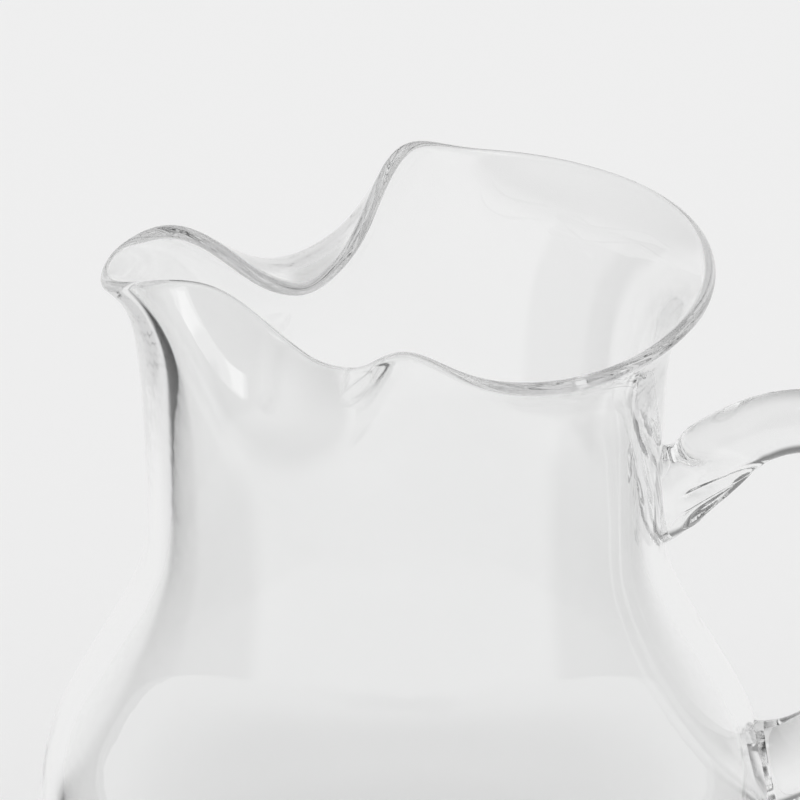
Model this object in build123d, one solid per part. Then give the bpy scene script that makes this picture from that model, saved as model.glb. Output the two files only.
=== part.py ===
from build123d import *
from math import cos, exp, radians, sin
import os

# A clear glass jug: a blown vessel with a pinched ice lip and a spout, and a solid glass rod handle.
# Millimetres. Z is the jug's axis, the foot stands on Z = 0, the spout points to -X, the handle to +X.
# The jug is the same on both sides of the XZ plane.

# Driving dimensions of the vessel
RIM_HEIGHT = 193.8
NECK_RADIUS = 49.2
BODY_WALL = 4.4
RIM_WALL = 2.6
FLOOR_THICKNESS = 7.0
FLOOR_RISE = 0.2
FOOT_RADIUS = 47.0
PUSH_UP_RADIUS = 38.0
PUSH_UP_DEPTH = 2.6

# The outside of the vessel from the foot to the neck, as radius and height
BODY_PROFILE = [
    (FOOT_RADIUS, 0.0),
    (51.5, 1.6),
    (60.0, 10.5),
    (66.6, 25.0),
    (70.8, 43.0),
    (72.2, 62.0),
    (71.4, 79.0),
    (69.2, 92.0),
    (64.6, 102.0),
    (58.6, 113.0),
    (53.0, 124.5),
    (50.0, 134.5),
    (NECK_RADIUS, 145.0),
]

# The inside below the last even wall, round the thick bottom to the middle of the floor
FLOOR_PROFILE = [
    (60.6, 26.0),
    (53.5, 14.5),
    (42.0, 8.6),
    (24.0, FLOOR_THICKNESS + FLOOR_RISE),
    (8.0, FLOOR_THICKNESS),
]
# The lowest point of the outside that has the even wall
FIRST_WALL_POINT = 4

# The collar, from the neck to the rim: how far under the rim plane it starts, how softly it turns at the
# crease, and the share of the shelf where its bend ends
COLLAR_DEPTH = 44.0
CREASE_SOFTNESS = 1.5
SHELF_START = 0.22
# How far the neck leans out under the spout, and how quickly that fades round the neck
SPOUT_LEAN = 1.3
LEAN_POWER = 3

# Half of the rim, from the handle side to the spout: the angle on the neck below, the middle of the rim's
# wall, its height over the rim plane, and how far under that plane the wall turns towards it.
# It stands plain and oval round the back, dives inwards at the pinch, and rises again to the spout.
RIM = [
    (0, 57.2, 0.0, 0.8, 9.0),
    (15, 55.2, 15.1, 0.7, 9.0),
    (30, 49.8, 27.8, 0.5, 9.0),
    (45, 41.9, 38.2, 0.1, 8.5),
    (58, 31.6, 45.6, 0.0, 7.5),
    (70, 20.5, 48.8, 0.5, 6.5),
    (80, 10.8, 47.9, 1.9, 5.0),
    (87, 3.5, 45.6, 4.2, 4.0),
    (93, -1.4, 42.6, 3.5, 4.5),
    (98, -5.2, 37.0, -1.0, 5.5),
    (103, -9.5, 27.6, -7.1, 7.5),
    (109, -15.2, 19.1, -10.5, 10.0),
    (116, -20.8, 13.2, -10.2, 12.3),
    (125, -27.9, 9.4, -5.8, 13.8),
    (135, -35.5, 9.5, 0.1, 12.0),
    (147, -43.3, 11.5, 2.8, 8.0),
    (160, -49.9, 10.2, 1.9, 6.5),
    (171, -54.5, 6.2, 0.0, 6.3),
    (180, -56.1, 0.0, -1.3, 6.3),
]

# Steps along the collar from the neck to the rim, and round the fire-polished rim itself
COLLAR_STEPS = [0.0, 0.2, 0.36, 0.5, 0.62, 0.74, 0.86, 1.0]
RIM_TURNS = [30, 60, 90, 120, 150]

# The handle's run in the XZ plane, from the neck over the bend to the belly: X and the depth under the
# rim plane. The first points are the upper root, and the last ones the lower root.
HANDLE_RUN = [
    (46.8, 47.8),
    (51.9, 46.2),
    (55.4, 42.3),
    (59.8, 38.0),
    (66.2, 33.9),
    (75.0, 31.6),
    (85.2, 33.4),
    (93.8, 40.2),
    (99.0, 51.2),
    (100.2, 64.4),
    (97.6, 77.8),
    (91.6, 90.2),
    (83.4, 99.6),
    (75.2, 105.6),
    (67.2, 108.1),
]
# The way that each section of the roots faces, in degrees from +X towards +Z
UPPER_ROOT_WAYS = [0, 8, 20]
LOWER_ROOT_WAYS = [-161, -170]
# Between the roots the rod has this many even steps, each section square to the run
ROD_STEPS = 12

# The rod is round, and spreads at each root where it was pressed on hot: how much half its height and
# half its width grow at the run's end, and how soon that fades along the run
ROD_RADIUS = 5.9
UPPER_SPREAD = (5.1, 1.9, 11.0)
LOWER_SPREAD = (4.3, 3.1, 13.5)
SECTION_POINTS = 16


def mirrored(half):
    """The stations of the whole ring, from the spout round by negative Y, from those of the other half."""
    first = [(-a, x, -y, z, c) for a, x, y, z, c in half[:0:-1]]
    return first + half[:-1]


STATIONS = mirrored(RIM)


def ring(points):
    """A closed smooth ring through the points, with even parameters."""
    steps = [i / len(points) for i in range(len(points) + 1)]
    return Wire([Edge.make_spline(points, periodic=True, parameters=steps)])


def circle_points(radius, height):
    return [Vector(radius * cos(radians(a)), radius * sin(radians(a)), height) for a, *_ in STATIONS]


def collar_point(station, t):
    """The middle of the wall over one station: up the neck, round the crease and then to the rim."""
    angle, x, y, lift, crease = station
    way = Vector(cos(radians(angle)), sin(radians(angle)), 0)
    neck = way * (NECK_RADIUS - BODY_WALL / 2)
    lean = way * (SPOUT_LEAN * max(0.0, -way.X) ** LEAN_POWER)
    edge = Vector(x, y, RIM_HEIGHT + lift)
    corner = neck + lean + Vector(0, 0, RIM_HEIGHT - crease)
    low = neck + Vector(0, 0, RIM_HEIGHT - COLLAR_DEPTH)
    rise = corner - Vector(0, 0, CREASE_SOFTNESS)
    reach = corner + (edge - corner) * SHELF_START
    s = 1 - t
    return low * s**3 + rise * (3 * s * s * t) + reach * (3 * s * t * t) + edge * t**3


def collar_slope(station, t, step=0.001):
    """The direction of travel along the wall at one station."""
    return (collar_point(station, min(t + step, 1)) - collar_point(station, max(t - step, 0))).normalized()


def collar_frames(t):
    """Each station's point at step t in the middle of the wall, the outward normal and the way to the rim."""
    points = [collar_point(s, t) for s in STATIONS]
    loop = ring(points).edge()
    frames = []
    for i, station in enumerate(STATIONS):
        along = loop.tangent_at(i / len(STATIONS), position_mode=PositionMode.PARAMETER)
        up = collar_slope(station, t)
        frames.append((points[i], along.cross(up).normalized(), up))
    return frames


def wall_at(t):
    """The wall thins smoothly from the neck to the rim."""
    return BODY_WALL + (RIM_WALL - BODY_WALL) * t * t * (3 - 2 * t)


def offset_ring(frames, distance):
    return [p + out * distance for p, out, up in frames]


def rim_ring(frames, turn):
    """One ring round the rounded edge, from the outside at 0 degrees to the inside at 180."""
    half = RIM_WALL / 2
    across, over = half * cos(radians(turn)), half * sin(radians(turn))
    return [p + out * across + up * over for p, out, up in frames]


def inner_profile():
    """The inside of the vessel from the neck down to its floor, one wall inside the outside."""
    outside = Spline(*BODY_PROFILE[1:])
    inside = []
    for r, z in reversed(BODY_PROFILE[FIRST_WALL_POINT:]):
        slope = outside.tangent_at(outside.param_at_point((r, z)))
        inside.append((r - BODY_WALL * slope.Y, z + BODY_WALL * slope.X))
    return inside + FLOOR_PROFILE


def vessel_rings():
    """Rings up the outside, over the rim and down the inside to the floor."""
    frames = {t: collar_frames(t) for t in COLLAR_STEPS}
    rings = [circle_points(r, z) for r, z in BODY_PROFILE]
    rings += [offset_ring(frames[t], wall_at(t) / 2) for t in COLLAR_STEPS]
    rings += [rim_ring(frames[1.0], turn) for turn in RIM_TURNS]
    rings += [offset_ring(frames[t], -wall_at(t) / 2) for t in reversed(COLLAR_STEPS)]
    rings += [circle_points(r, z) for r, z in inner_profile()]
    return rings


def push_up():
    """The shallow dome under the foot, which leaves a flat ring to stand on."""
    sphere_radius = (PUSH_UP_RADIUS**2 + PUSH_UP_DEPTH**2) / (2 * PUSH_UP_DEPTH)
    return Pos(0, 0, PUSH_UP_DEPTH - sphere_radius) * Sphere(sphere_radius)


def make_vessel():
    blown = Solid.make_loft([ring(points) for points in vessel_rings()])
    return (blown - push_up()).solid()


def spread(travel, length):
    """Half the rod's height and half its width after that much of its run."""
    upper = exp(-travel / UPPER_SPREAD[2])
    lower = exp((travel - length) / LOWER_SPREAD[2])
    return [ROD_RADIUS + UPPER_SPREAD[i] * upper + LOWER_SPREAD[i] * lower for i in (0, 1)]


def rod_section(run, share, way):
    """An oval ring across the handle at that share of its run, which faces the given way."""
    half_height, half_width = spread(share * run.length, run.length)
    centre = run.position_at(share)
    upright = way.cross(Vector(0, 1, 0))
    turns = [radians(360 * i / SECTION_POINTS) for i in range(SECTION_POINTS)]
    return ring([centre + Vector(0, half_width * cos(a), 0) + upright * (half_height * sin(a)) for a in turns])


def handle_sections():
    """The sections of the upper root, of the rod in even steps, and of the lower root."""
    points = [(x, 0, RIM_HEIGHT - depth) for x, depth in HANDLE_RUN]
    run = Spline(*points)
    shares = [run.param_at_point(point) for point in points]
    first, last = len(UPPER_ROOT_WAYS), len(points) - 1 - len(LOWER_ROOT_WAYS)
    step = (shares[last] - shares[first]) / ROD_STEPS
    rod = [shares[first] + i * step for i in range(ROD_STEPS + 1)]
    root_ways = [Vector(cos(radians(a)), 0, sin(radians(a))) for a in UPPER_ROOT_WAYS + LOWER_ROOT_WAYS]
    upper = [rod_section(run, shares[i], root_ways[i]) for i in range(first)]
    middle = [rod_section(run, share, run.tangent_at(share)) for share in rod]
    lower = [rod_section(run, shares[last + 1 + i], root_ways[first + i]) for i in range(len(LOWER_ROOT_WAYS))]
    return upper + middle + lower


def make_handle(vessel):
    """The rod with its two spread roots, cut to the outside of the vessel that they are pressed on."""
    pieces = (Solid.make_loft(handle_sections()) - vessel).solids()
    return max(pieces, key=lambda piece: piece.volume)


def main():
    os.makedirs("parts", exist_ok=True)
    vessel = make_vessel()
    handle = make_handle(vessel)
    for name, solid in (("jug_body", vessel), ("handle", handle)):
        box = solid.bounding_box()
        print(name, "valid", solid.is_valid, "volume cm3", round(solid.volume / 1000, 1), box)
        export_step(solid, f"parts/{name}.step")


if __name__ == "__main__":
    main()
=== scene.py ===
from math import cos, pi, radians, sin

import bmesh
import bpy
import numpy as np
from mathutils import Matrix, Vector


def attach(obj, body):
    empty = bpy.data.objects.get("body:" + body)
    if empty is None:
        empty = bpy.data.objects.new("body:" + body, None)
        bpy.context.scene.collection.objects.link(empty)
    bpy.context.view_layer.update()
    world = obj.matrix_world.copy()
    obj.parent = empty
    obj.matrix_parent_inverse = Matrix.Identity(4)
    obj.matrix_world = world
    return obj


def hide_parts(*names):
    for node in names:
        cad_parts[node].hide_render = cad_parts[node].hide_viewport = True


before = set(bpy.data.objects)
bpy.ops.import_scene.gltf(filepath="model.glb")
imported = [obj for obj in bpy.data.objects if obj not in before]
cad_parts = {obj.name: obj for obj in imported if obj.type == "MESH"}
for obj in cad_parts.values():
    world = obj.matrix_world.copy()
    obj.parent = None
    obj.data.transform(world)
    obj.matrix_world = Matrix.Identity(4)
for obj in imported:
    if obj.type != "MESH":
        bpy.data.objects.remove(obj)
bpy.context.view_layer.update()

# A clear glass jug, blown with a pinched ice lip and a spout, with a glass rod pressed on hot as its handle.
# It is modelled in millimetres, as the maker measures it, and the mesh is scaled to metres once.
MM = 0.001

# The blown vessel: the outside as radius and height, and the inside below the last even wall
RIM_HEIGHT = 193.8
NECK_RADIUS = 49.2
BODY_WALL = 4.4
RIM_WALL = 2.6
FLOOR_THICKNESS = 7.0
FLOOR_RISE = 0.2
FOOT_RADIUS = 47.0
PUSH_UP_RADIUS = 38.0
PUSH_UP_DEPTH = 2.6
BODY_PROFILE = [
    (FOOT_RADIUS, 0.0), (51.5, 1.6), (60.0, 10.5), (66.6, 25.0), (70.8, 43.0), (72.2, 62.0), (71.4, 79.0),
    (69.2, 92.0), (64.6, 102.0), (58.6, 113.0), (53.0, 124.5), (50.0, 134.5), (NECK_RADIUS, 145.0),
]
FLOOR_PROFILE = [(60.6, 26.0), (53.5, 14.5), (42.0, 8.6), (24.0, FLOOR_THICKNESS + FLOOR_RISE)]
# The lowest point of the outside that has the even wall
FIRST_WALL_POINT = 4

# The collar from the neck to the rim: how softly it turns at the crease, the share of the shelf where its
# bend ends, and how far the neck leans out under the spout
COLLAR_DEPTH = 44.0
COLLAR_START = RIM_HEIGHT - COLLAR_DEPTH
NECK_MIDDLE = NECK_RADIUS - BODY_WALL / 2
CREASE_SOFTNESS = 1.5
SHELF_START = 0.22
SPOUT_LEAN = 1.3
LEAN_POWER = 3
# Half of the rim from the handle to the spout: neck angle, X, Y, lift over the rim plane, crease depth
RIM = [
    (0, 57.2, 0.0, 0.8, 9.0), (15, 55.2, 15.1, 0.7, 9.0), (30, 49.8, 27.8, 0.5, 9.0),
    (45, 41.9, 38.2, 0.1, 8.5), (58, 31.6, 45.6, 0.0, 7.5), (70, 20.5, 48.8, 0.5, 6.5),
    (80, 10.8, 47.9, 1.9, 5.0), (87, 3.5, 45.6, 4.2, 4.0), (93, -1.4, 42.6, 3.5, 4.5),
    (98, -5.2, 37.0, -1.0, 5.5), (103, -9.5, 27.6, -7.1, 7.5), (109, -15.2, 19.1, -10.5, 10.0),
    (116, -20.8, 13.2, -10.2, 12.3), (125, -27.9, 9.4, -5.8, 13.8), (135, -35.5, 9.5, 0.1, 12.0),
    (147, -43.3, 11.5, 2.8, 8.0), (160, -49.9, 10.2, 1.9, 6.5), (171, -54.5, 6.2, 0.0, 6.3),
    (180, -56.1, 0.0, -1.3, 6.3),
]

# The handle's run, as X and the depth under the rim plane
HANDLE_RUN = [
    (46.8, 47.8), (51.9, 46.2), (55.4, 42.3), (59.8, 38.0), (66.2, 33.9), (75.0, 31.6), (85.2, 33.4),
    (93.8, 40.2), (99.0, 51.2), (100.2, 64.4), (97.6, 77.8), (91.6, 90.2), (83.4, 99.6), (75.2, 105.6),
    (67.2, 108.1),
]
# The way that each section of the roots faces, in degrees from +X towards +Z, and the even steps between them
UPPER_ROOT_WAYS = [0, 8, 20]
LOWER_ROOT_WAYS = [-161, -170]
ROD_STEPS = 12
# How much half the rod's height and half its width grow at each end of the run, and how soon that fades
ROD_RADIUS = 5.9
UPPER_SPREAD = (5.1, 1.9, 11.0)
LOWER_SPREAD = (4.3, 3.1, 13.5)

# Where the hot rod was pinched against the neck: how far along the run the groove comes and goes, its turn
# from the side down to the bottom, at the root and more per millimetre, its depth, its width, and the length
# of the ripple beside it
PINCH_IN = (4.0, 9.0)
PINCH_OUT = (17.0, 26.0)
PINCH_TURN = (0.12, 0.055)
PINCH_DEPTH = 0.95
PINCH_WIDTH = 3.6
PINCH_RIPPLE = 4.2

# How finely the meshes are made
STATION_COLUMNS = 8
BODY_ROWS = 64
COLLAR_ROWS = 40
RIM_ROWS = 12
DOME_ROWS = 8
HANDLE_SIDES = 112
HANDLE_RINGS = 190
LENGTH_STEPS = 200
# The share of the run to either side of a place between which the rod's way is taken
WAY_STEP = 0.001
# Points closer than this are made one, in millimetres on the vessel and in metres on the fused glass
VESSEL_GAP = 0.0001
FUSED_GAP = 0.000002
CREASE_ANGLE = radians(38)

# The camera stands at the height and the distance that the photograph was taken from
ELEVATION = radians(27.5)
CAMERA_DISTANCE = 1.5
FRAME_WIDTH = 0.152
AIM = Vector((-0.00095, 0.0, 0.1667))
SENSOR = 36.0
NEAREST_SEEN = 0.01
# Light that runs along inside the wall turns this often before it is given up
LIGHT_TURNS = 300

# The glass lets nearly all light through, and a little less where it's thicker with trace colour
GLASS_IOR = 1.5
GREYER_GLASS = (0.972, 0.974, 0.973, 1)
CLEARER_GLASS = (0.99, 0.991, 0.99, 1)
# Its broad swell and its fine unevenness
SWELL = {"Scale": 26.0, "Detail": 1.0, "Roughness": 0.4}
FINE = {"Scale": 140.0, "Detail": 2.0, "Roughness": 0.5}
# Its fire polish at the smoothest, and what the unevenness adds
POLISH = 0.004
POLISH_SPREAD = 0.012
# How its relief is made up, how strongly it shows, and how deep it is in metres
SWELL_SHARE = 0.85
RELIEF_STRENGTH = 0.3
RELIEF_DEPTH = 0.0004

# Tones of the studio, where 1 is white: the pale ground, the light on it, and what only the glass shows
PALE = 0.863
ROOM_LIGHT = 1.0
# The floor's painted reflection tones, which only the glass shows: pale in front and grey flats beside
PAINTED_FRONT_PALE = 1.0
PAINTED_FLATS_GREY = 0.4
WALL = 0.2
WALL_AT_CAMERA = 0.06
CEILING = 0.42
LAMP_TONE = 1.8
# How much of the tone the painted black flag, a dark reflection, and the jug's own painted soft shade take
# away
PAINTED_FLAG_DEPTH = 0.93
SHADE_DEPTH = 0.2
# Where the floor's painted reflection tones change, in quarter turns from the camera's side: 0 in front and 2
# behind
FRONT_EDGE = (0.7, 0.76)
BACK_EDGE = (1.3, 1.5)
PAINTED_FLAG_NEAR = (1.14, 1.2)
PAINTED_FLAG_FAR = (1.38, 1.45)
# The same in metres: towards the spout, where the painted flag is, and away from the jug's axis
PAINTED_FLAG_SIDE = (0.0, 0.01)
SHADE_REACH = (0.08, 0.155)
FLAT_START = (0.2, 0.26)
FLOOR_REACH = 12.0
# Where the room's tones change: by height, from 0 at the horizon to 1 straight up, and towards the camera
SWEEP_EDGE = (0.05, 0.3)
CEILING_EDGE = (0.55, 0.95)
CAMERA_SIDE = (0.0, 0.6)
# Light that ran along inside the wall this often comes out far below, where it's pale
MANY_TURNS = (36, 60)
# The long soft box over the handle: its place and half its size, each per metre of height over the jug
LAMP_WAY = (0.25, -0.18)
LAMP_TURN = radians(42)
LAMP_HALF = (0.36, 0.12)
LAMP_SOFTNESS = 0.03
LAMP_LOWEST = (0.1, 0.2)


def natural_weights(knots, where):
    """Rows that turn the values at the knots into those of the smooth curve through them at each place."""
    knots, where = np.asarray(knots, float), np.asarray(where, float)
    count, gaps = len(knots), np.diff(knots)
    bend, slope = np.eye(count), np.zeros((count, count))
    for i in range(1, count - 1):
        bend[i, i - 1:i + 2] = gaps[i - 1] / 6, (gaps[i - 1] + gaps[i]) / 3, gaps[i] / 6
        slope[i, i - 1:i + 2] = 1 / gaps[i - 1], -1 / gaps[i - 1] - 1 / gaps[i], 1 / gaps[i]
    curvature, unit = np.linalg.solve(bend, slope), np.eye(count)
    span = np.clip(np.searchsorted(knots, where, side="right") - 1, 0, count - 2)
    gap = gaps[span][:, None]
    after = (where - knots[span])[:, None] / gap
    before = 1 - after
    flat = before * unit[span] + after * unit[span + 1]
    bent = (before**3 - before) * curvature[span] + (after**3 - after) * curvature[span + 1]
    return flat + bent * gap**2 / 6


def round_weights(count, where):
    """The same on a closed ring of evenly numbered stations, and how the curve changes by the station."""
    unit = np.eye(count)
    before_one, after_one = np.roll(unit, -1, axis=1), np.roll(unit, 1, axis=1)
    curvature = np.linalg.solve((before_one + 4 * unit + after_one) / 6, before_one - 2 * unit + after_one)
    span = np.floor(where).astype(int) % count
    after = (where - np.floor(where))[:, None]
    before, ahead = 1 - after, (span + 1) % count
    value = before * unit[span] + after * unit[ahead]
    value += ((before**3 - before) * curvature[span] + (after**3 - after) * curvature[ahead]) / 6
    change = unit[ahead] - unit[span]
    change += ((1 - 3 * before**2) * curvature[span] + (3 * after**2 - 1) * curvature[ahead]) / 6
    return value, change


def chord_shares(points):
    """How far along the chain of its chords each point lies, from 0 to 1."""
    steps = np.linalg.norm(np.diff(np.asarray(points, float), axis=0), axis=1)
    return np.concatenate(([0.0], np.cumsum(steps))) / steps.sum()


def smooth_curve(points, count):
    """Evenly numbered points on the smooth curve through the given ones."""
    return natural_weights(chord_shares(points), np.linspace(0, 1, count)) @ np.asarray(points, float)


def soft_step(values, low, high):
    """0 below low, 1 above high, and a smooth step between."""
    part = np.clip((values - low) / (high - low), 0, 1)
    return part * part * (3 - 2 * part)


def unit_rows(vectors):
    return vectors / np.linalg.norm(vectors, axis=1)[:, None]


def level_rows(x, y):
    """Level vectors with those X and Y."""
    return np.stack([x, y, 0 * x], axis=1)


def wall_at(t):
    """The wall thins smoothly from the neck to the rim."""
    return BODY_WALL + (RIM_WALL - BODY_WALL) * t * t * (3 - 2 * t)


def inner_profile(outside):
    """The inside of the vessel from the neck down to the middle of its floor, one wall inside the outside."""
    travel = unit_rows(np.gradient(outside, axis=0))
    inner = outside + BODY_WALL * np.stack([-travel[:, 1], travel[:, 0]], axis=1)
    wall_foot = BODY_PROFILE[FIRST_WALL_POINT][1]
    wall = [tuple(point) for point, place in zip(inner, outside) if place[1] >= wall_foot][::-1]
    # The floor's curve starts with the last two points of the wall, so that the two run into each other, and
    # its own first points that lie on the wall are left out
    floor_points = wall[-2:] + FLOOR_PROFILE + [(0.0, FLOOR_THICKNESS)]
    floor = smooth_curve(floor_points, BODY_ROWS // 2)[3:]
    return wall + [tuple(point) for point in floor]


def vessel_profile():
    """Half the vessel's section with a straight collar, from the middle of the foot to that of the floor."""
    dome_steps = [i / DOME_ROWS for i in range(DOME_ROWS + 1)]
    dome = [(PUSH_UP_RADIUS * step, PUSH_UP_DEPTH * (1 - step**2)) for step in dome_steps]
    outside = smooth_curve(BODY_PROFILE + [(NECK_RADIUS, COLLAR_START)], BODY_ROWS)
    steps = [i / COLLAR_ROWS for i in range(1, COLLAR_ROWS + 1)]
    heights = [COLLAR_START + COLLAR_DEPTH * t for t in steps]
    collar_out = [(NECK_MIDDLE + wall_at(t) / 2, z) for t, z in zip(steps, heights)]
    collar_in = [(NECK_MIDDLE - wall_at(t) / 2, z) for t, z in zip(steps, heights)][::-1]
    turns = [pi * i / RIM_ROWS for i in range(1, RIM_ROWS)]
    lip = [(NECK_MIDDLE + RIM_WALL / 2 * cos(a), RIM_HEIGHT + RIM_WALL / 2 * sin(a)) for a in turns]
    shell = dome + [tuple(point) for point in outside]
    return shell + collar_out + lip + collar_in + inner_profile(outside)


def stations():
    """The collar's stations all round, from the spout by negative Y and back."""
    first = [(-a, x, -y, z, c) for a, x, y, z, c in RIM[:0:-1]]
    return first + RIM[:-1]


def collar_controls():
    """The four points that rule each station's bend to the rim, as seen from the neck's circle."""
    angle, x, y, lift, crease = np.array(stations(), float).T
    way = level_rows(np.cos(np.radians(angle)), np.sin(np.radians(angle)))
    up = np.array([0.0, 0.0, 1.0])
    lean = SPOUT_LEAN * np.maximum(0, -way[:, :1]) ** LEAN_POWER
    edge = np.stack([x, y, RIM_HEIGHT + lift], axis=1) - way * NECK_MIDDLE
    corner = way * lean + up * (RIM_HEIGHT - crease[:, None])
    low = np.tile(up * COLLAR_START, (len(angle), 1))
    return [low, corner - up * CREASE_SOFTNESS, corner + (edge - corner) * SHELF_START, edge]


def column_turns(places):
    """How much each station counts in each point's values and in their change from one station to the next,
    and the point's angle and that angle's change."""
    rows = stations()
    count = len(rows)
    turn = np.arctan2(places[:, 1], places[:, 0])
    value, change = round_weights(count, (turn + pi) / (2 * pi) * count)
    even = np.arange(count) * 2 * pi / count - pi
    sway = np.radians([row[0] for row in rows]) - even
    return value, change, turn + value @ sway, 2 * pi / count + change @ sway


def form_collar(places):
    """Bends the straight collar to the pinched rim, and keeps the columns of the body in line with it."""
    value, change, angle, angle_change = column_turns(places)
    radius = np.hypot(places[:, 0], places[:, 1])
    way = level_rows(np.cos(angle), np.sin(angle))
    across = level_rows(-np.sin(angle), np.cos(angle)) * angle_change[:, None]
    formed = way * radius[:, None]
    formed[:, 2] = places[:, 2]

    controls = collar_controls()
    t = np.clip((places[:, 2] - COLLAR_START) / COLLAR_DEPTH, 0, 1)[:, None]
    s = 1 - t
    shares = [s**3, 3 * s * s * t, 3 * s * t * t, t**3]
    paces = [-3 * s * s, 3 * s * s - 6 * s * t, 6 * s * t - 3 * t * t, 3 * t * t]
    point = way * NECK_MIDDLE + sum(share * (value @ c) for share, c in zip(shares, controls))
    along = across * NECK_MIDDLE + sum(share * (change @ c) for share, c in zip(shares, controls))
    rise = unit_rows(sum(pace * (value @ c) for pace, c in zip(paces, controls)))
    outward = unit_rows(np.cross(along, rise))
    over = np.maximum(0, places[:, 2:3] - RIM_HEIGHT)
    collar = point + outward * (radius[:, None] - NECK_MIDDLE) + rise * over
    above = places[:, 2] > COLLAR_START
    formed[above] = collar[above]
    return formed


def mesh_places(bm):
    return np.array([v.co[:] for v in bm.verts])


def place_mesh(bm, places):
    for vertex, place in zip(bm.verts, places):
        vertex.co = place


def new_object(name, bm):
    """An object of that name in the scene, with the finished bmesh as its mesh."""
    mesh = bpy.data.meshes.new(name)
    bm.to_mesh(mesh)
    bm.free()
    piece = bpy.data.objects.new(name, mesh)
    bpy.context.scene.collection.objects.link(piece)
    return piece


def blown_vessel():
    """The vessel's section turned round the axis, with its collar then formed."""
    bm = bmesh.new()
    points = [bm.verts.new((r, 0, z)) for r, z in vessel_profile()]
    lines = [bm.edges.new(pair) for pair in zip(points, points[1:])]
    turn = {"cent": (0, 0, 0), "axis": (0, 0, 1), "angle": 2 * pi, "use_merge": True}
    bmesh.ops.spin(bm, geom=points + lines, steps=STATION_COLUMNS * len(stations()), **turn)
    bmesh.ops.remove_doubles(bm, verts=bm.verts, dist=VESSEL_GAP)
    place_mesh(bm, form_collar(mesh_places(bm)) * MM)
    bmesh.ops.recalc_face_normals(bm, faces=bm.faces)
    return new_object("vessel", bm)


def handle_stations():
    """The shares, middles and ways of the handle's sections: two spread roots and the rod in even steps."""
    points = [(x, RIM_HEIGHT - depth) for x, depth in HANDLE_RUN]
    shares = chord_shares(points)
    first, last = len(UPPER_ROOT_WAYS), len(points) - 1 - len(LOWER_ROOT_WAYS)
    rod = np.linspace(shares[first], shares[last], ROD_STEPS + 1)
    ahead, behind = natural_weights(shares, rod + WAY_STEP), natural_weights(shares, rod - WAY_STEP)
    travel = (ahead - behind) @ np.array(points)
    rod_ways = np.unwrap(np.arctan2(travel[:, 1], travel[:, 0]))
    all_shares = np.concatenate((shares[:first], rod, shares[last + 1:]))
    all_ways = np.concatenate((np.radians(UPPER_ROOT_WAYS), rod_ways, np.radians(LOWER_ROOT_WAYS)))
    middles = natural_weights(shares, all_shares) @ np.array(points)
    return all_shares, middles, all_ways


def pinch_marks(places, travel):
    """How far the tool pushed the hot rod in and out at the upper root, on both sides alike."""
    below = np.arctan2(-places[:, 0], np.abs(places[:, 1]))
    aside = (below - PINCH_TURN[0] - PINCH_TURN[1] * travel) * ROD_RADIUS
    fade = soft_step(travel, *PINCH_IN) * (1 - soft_step(travel, *PINCH_OUT))
    return -PINCH_DEPTH * fade * np.cos(2 * pi * aside / PINCH_RIPPLE) * np.exp(-(aside / PINCH_WIDTH) ** 2)


def form_handle(places):
    """Bends a straight tube of radius 1 and length 1 along the handle's run and spreads its roots."""
    shares, middles, ways = handle_stations()
    share = places[:, 2] + 0.5
    weights = natural_weights(shares, share)
    middle, way = weights @ middles, weights @ ways
    length = np.linalg.norm(np.diff(smooth_curve(middles, LENGTH_STEPS), axis=0), axis=1).sum()
    travel = share * length
    upper, lower = np.exp(-travel / UPPER_SPREAD[2]), np.exp((travel - length) / LOWER_SPREAD[2])
    half_height, half_width = [ROD_RADIUS + UPPER_SPREAD[i] * upper + LOWER_SPREAD[i] * lower for i in (0, 1)]
    pinch = 1 + pinch_marks(places, travel) / ROD_RADIUS
    tall, wide = places[:, 0] * half_height * pinch, places[:, 1] * half_width * pinch
    return np.stack([middle[:, 0] - np.sin(way) * tall, wide, middle[:, 1] + np.cos(way) * tall], axis=1)


def pulled_handle():
    """A tube of even rings, formed to the handle."""
    bm = bmesh.new()
    bmesh.ops.create_cone(bm, cap_ends=True, segments=HANDLE_SIDES, radius1=1, radius2=1, depth=1)
    # The tube is 1 long, so that only its staves rise by more than half of that
    staves = [e for e in bm.edges if abs(e.verts[0].co.z - e.verts[1].co.z) > 0.5]
    bmesh.ops.subdivide_edges(bm, edges=staves, cuts=HANDLE_RINGS, use_grid_fill=True)
    place_mesh(bm, form_handle(mesh_places(bm)) * MM)
    bmesh.ops.recalc_face_normals(bm, faces=bm.faces)
    return new_object("handle_rod", bm)


def fused(name, vessel, rod):
    """The handle melted into the vessel: one glass with no skin left between the two."""
    join = vessel.modifiers.new("melt", "BOOLEAN")
    join.operation = "UNION"
    join.solver = "EXACT"
    join.object = rod
    whole = bpy.data.meshes.new_from_object(vessel.evaluated_get(bpy.context.evaluated_depsgraph_get()))
    for part in (vessel, rod):
        bpy.data.objects.remove(part)
    bm = bmesh.new()
    bm.from_mesh(whole)
    bmesh.ops.remove_doubles(bm, verts=bm.verts, dist=FUSED_GAP)
    for face in bm.faces:
        face.smooth = True
    bm.to_mesh(whole)
    bm.free()
    whole.name = name
    whole.set_sharp_from_angle(angle=CREASE_ANGLE)
    piece = bpy.data.objects.new(name, whole)
    bpy.context.scene.collection.objects.link(piece)
    return piece


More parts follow.
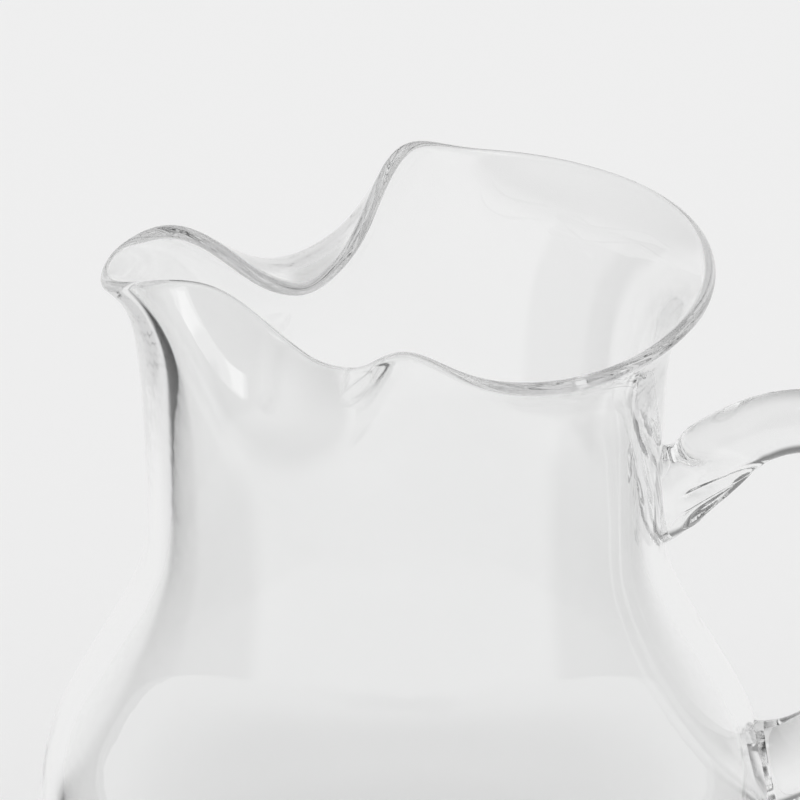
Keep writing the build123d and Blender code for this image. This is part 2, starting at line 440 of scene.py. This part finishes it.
class Sum:
    """A number or colour in a node tree. The signs + - * / add the nodes that work them out. A tree's first
    nodes come from a Sum that has no socket."""

    def __init__(self, tree, socket=None):
        self.tree = tree
        self.socket = socket

    def node(self, kind, settings=(), out=0, **values):
        """A new node with its settings, and its sockets' values or links. A socket goes by its name, with _
        for a space, or by its number after a _."""
        made = self.tree.nodes.new(kind)
        for name, value in dict(settings).items():
            setattr(made, name, value)
        for name, value in values.items():
            numbered = name[0] == "_" and name[1:].isdigit()
            socket = made.inputs[int(name[1:]) if numbered else name.replace("_", " ")]
            if isinstance(value, Sum):
                self.tree.links.new(value.socket, socket)
            else:
                socket.default_value = value
        return Sum(self.tree, made.outputs[out])

    def maths(self, operation, a, b=0.0):
        return self.node("ShaderNodeMath", {"operation": operation}, _0=a, _1=b)

    def __add__(self, other):
        return self.maths("ADD", self, other)

    def __radd__(self, other):
        return self.maths("ADD", other, self)

    def __sub__(self, other):
        return self.maths("SUBTRACT", self, other)

    def __rsub__(self, other):
        return self.maths("SUBTRACT", other, self)

    def __mul__(self, other):
        return self.maths("MULTIPLY", self, other)

    def __rmul__(self, other):
        return self.maths("MULTIPLY", other, self)

    def __truediv__(self, other):
        return self.maths("DIVIDE", self, other)

    def within(self, low, high):
        """0 below low, 1 above high, and a smooth step between."""
        settings = {"interpolation_type": "SMOOTHSTEP"}
        return self.node("ShaderNodeMapRange", settings, Value=self, From_Min=low, From_Max=high)


def part_of(start, vector, axis):
    """One of a vector's three numbers: X is 0, Y is 1 and Z is 2."""
    return start.node("ShaderNodeSeparateXYZ", out=axis, Vector=vector)


def grey_of(start, tone):
    return start.node("ShaderNodeCombineColor", Red=tone, Green=tone, Blue=tone)


def ray(start, fact):
    """What is known of the ray that looks, such as how often glass has mirrored it on its way."""
    return start.node("ShaderNodeLightPath", out=fact)


def clear_glass():
    """Clear blown glass: faintly uneven to the touch, a trace of grey in it, and polished by the fire."""
    material = bpy.data.materials.new("clear_glass")
    material.use_nodes = True
    tree = material.node_tree
    shader = tree.nodes["Principled BSDF"]
    shader.inputs["IOR"].default_value = GLASS_IOR
    shader.inputs["Transmission Weight"].default_value = 1.0
    start = Sum(tree)
    place = start.node("ShaderNodeTexCoord", out="Object")
    swell = start.node("ShaderNodeTexNoise", Vector=place, **SWELL)
    fine = start.node("ShaderNodeTexNoise", Vector=place, **FINE)
    # A colour mix has its share at socket 0 and its two colours at 6 and 7, and gives the mix at 2
    colours = {"_6": GREYER_GLASS, "_7": CLEARER_GLASS}
    tint = start.node("ShaderNodeMix", {"data_type": "RGBA"}, out=2, _0=swell, **colours)
    polish = POLISH + fine * POLISH_SPREAD
    relief = swell * SWELL_SHARE + fine * (1 - SWELL_SHARE)
    bump = start.node("ShaderNodeBump", Strength=RELIEF_STRENGTH, Distance=RELIEF_DEPTH, Height=relief)
    for name, value in (("Base Color", tint), ("Roughness", polish), ("Normal", bump)):
        tree.links.new(value.socket, shader.inputs[name])
    return material


def painted_floor_reflection(start, x, y, distance, near):
    """What the glass mirrors of the floor, a painted reflection that glows: the near tone at the jug with its
    painted shade, and farther off by the side that it lies on, pale in front and behind, painted grey flats
    between, and a painted black flag, a dark reflection, on the spout's side."""
    # Painted reflection: tones that glow only in the glass, pale in front and behind and painted grey flats
    # between
    turned = start.maths("ARCTAN2", start.maths("ABSOLUTE", x), 0.0 - y) / (pi / 2)
    front = 1.0 - turned.within(*FRONT_EDGE)
    behind = turned.within(*BACK_EDGE)
    tone = PAINTED_FLATS_GREY + front * (PAINTED_FRONT_PALE - PAINTED_FLATS_GREY) + behind * (PALE - PAINTED_FLATS_GREY)
    # The painted flag, a dark reflection, is seen only from inside the glass, and not as a dark mirror image
    # on its outside
    inside = start.maths("MINIMUM", ray(start, "Transmission Depth"), 1.0)
    painted_flag_turn = turned.within(*PAINTED_FLAG_NEAR) * (1.0 - turned.within(*PAINTED_FLAG_FAR))
    painted_flag = painted_flag_turn * (0.0 - x).within(*PAINTED_FLAG_SIDE) * inside
    return near + distance.within(*FLAT_START) * (tone * (1.0 - painted_flag * PAINTED_FLAG_DEPTH) - near)


def lamp_patch(start, x, y, z):
    """The soft box over the handle, which shows as a small bright patch where the glass mirrors it."""
    across, deep = x / z - LAMP_WAY[0], y / z - LAMP_WAY[1]
    along = across * cos(LAMP_TURN) + deep * sin(LAMP_TURN)
    beside = deep * cos(LAMP_TURN) - across * sin(LAMP_TURN)
    inside = [1.0 - start.maths("ABSOLUTE", value).within(size - LAMP_SOFTNESS, size)
              for value, size in ((along, LAMP_HALF[0]), (beside, LAMP_HALF[1]))]
    return inside[0] * inside[1] * z.within(*LAMP_LOWEST)


def studio_world():
    """A pale sweep in a darker room with a lit ceiling and one soft box. Only what the glass bends or mirrors
    shows that room, and straight past the jug the sweep is even."""
    world = bpy.data.worlds.new("studio")
    bpy.context.scene.world = world
    world.use_nodes = True
    tree = world.node_tree
    start = Sum(tree)
    way = start.node("ShaderNodeTexCoord", out="Generated")
    x, y, z = (part_of(start, way, axis) for axis in range(3))
    wall = WALL - (0.0 - y).within(*CAMERA_SIDE) * (WALL - WALL_AT_CAMERA)
    room = wall + z.within(*CEILING_EDGE) * (CEILING - wall)
    room = room + ray(start, "Glossy Depth").within(*MANY_TURNS) * (PALE - room)
    tone = PALE + z.within(*SWEEP_EDGE) * (room - PALE) + lamp_patch(start, x, y, z) * LAMP_TONE
    from_glass = start.maths("MAXIMUM", ray(start, "Is Glossy Ray"), ray(start, "Is Transmission Ray"))
    lights_floor = start.maths("MINIMUM", ray(start, "Diffuse Depth"), 1.0)
    shown = from_glass * (1.0 - lights_floor) * (tone - ROOM_LIGHT)
    mixed = ROOM_LIGHT + ray(start, "Is Camera Ray") * (PALE - ROOM_LIGHT) + shown
    tree.links.new(grey_of(start, mixed).socket, tree.nodes["Background"].inputs["Color"])


def pale_floor_and_painted_reflections():
    """A wide pale sweep that takes the jug's shadow. What the glass mirrors of it glows with painted
    reflections, with grey flats beside it. Near the jug it is a little darker for the glass only, a painted
    shade as the jug's own soft shade."""
    bm = bmesh.new()
    bmesh.ops.create_grid(bm, x_segments=1, y_segments=1, size=FLOOR_REACH)
    floor = new_object("floor", bm)
    material = bpy.data.materials.new("pale_floor_and_painted_reflections")
    material.use_nodes = True
    tree = material.node_tree
    tree.nodes.remove(tree.nodes["Principled BSDF"])
    start = Sum(tree)
    place = start.node("ShaderNodeTexCoord", out="Object")
    x, y = (part_of(start, place, axis) for axis in range(2))
    distance = start.maths("SQRT", x * x + y * y)
    # Painted shade: near the jug the floor is a little darker, for rays through the glass and in its painted
    # reflection only
    shade = (1.0 - distance.within(*SHADE_REACH)) * SHADE_DEPTH
    tone = PALE - ray(start, "Is Transmission Ray") * shade * PALE
    plain = start.node("ShaderNodeBsdfDiffuse", Color=grey_of(start, tone))
    painted_reflection_tone = painted_floor_reflection(start, x, y, distance, PALE * (1.0 - shade))
    # The painted reflection glows, so the glass mirrors the floor with these tones and not with its light
    painted_reflection_glow = start.node("ShaderNodeEmission", Color=grey_of(start, painted_reflection_tone))
    mirrored = start.maths("MINIMUM", ray(start, "Glossy Depth"), 1.0)
    mixed = start.node("ShaderNodeMixShader", _0=mirrored, _1=plain, _2=painted_reflection_glow)
    tree.links.new(mixed.socket, tree.nodes["Material Output"].inputs["Surface"])
    floor.data.materials.append(material)


def photo_camera():
    """The camera that the scene is rendered by, aimed as the photograph's."""
    data = bpy.data.cameras.new("camera")
    data.sensor_width = SENSOR
    data.lens = SENSOR * CAMERA_DISTANCE / FRAME_WIDTH
    data.clip_start = NEAREST_SEEN
    camera = bpy.data.objects.new("camera", data)
    bpy.context.scene.collection.objects.link(camera)
    away = Vector((0, -cos(ELEVATION), sin(ELEVATION)))
    camera.location = AIM + away * CAMERA_DISTANCE
    camera.rotation_euler = away.to_track_quat("Z", "Y").to_euler()
    bpy.context.scene.camera = camera


def main():
    bpy.context.scene.view_settings.view_transform = "Standard"
    cycles = bpy.context.scene.cycles
    cycles.max_bounces = cycles.glossy_bounces = cycles.transmission_bounces = LIGHT_TURNS
    photo_camera()
    studio_world()
    pale_floor_and_painted_reflections()
    jug = fused("jug_glass", blown_vessel(), pulled_handle())
    jug.data.materials.clear()
    jug.data.materials.append(clear_glass())
    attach(jug, "root")
    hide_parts("jug_body", "handle")


main()
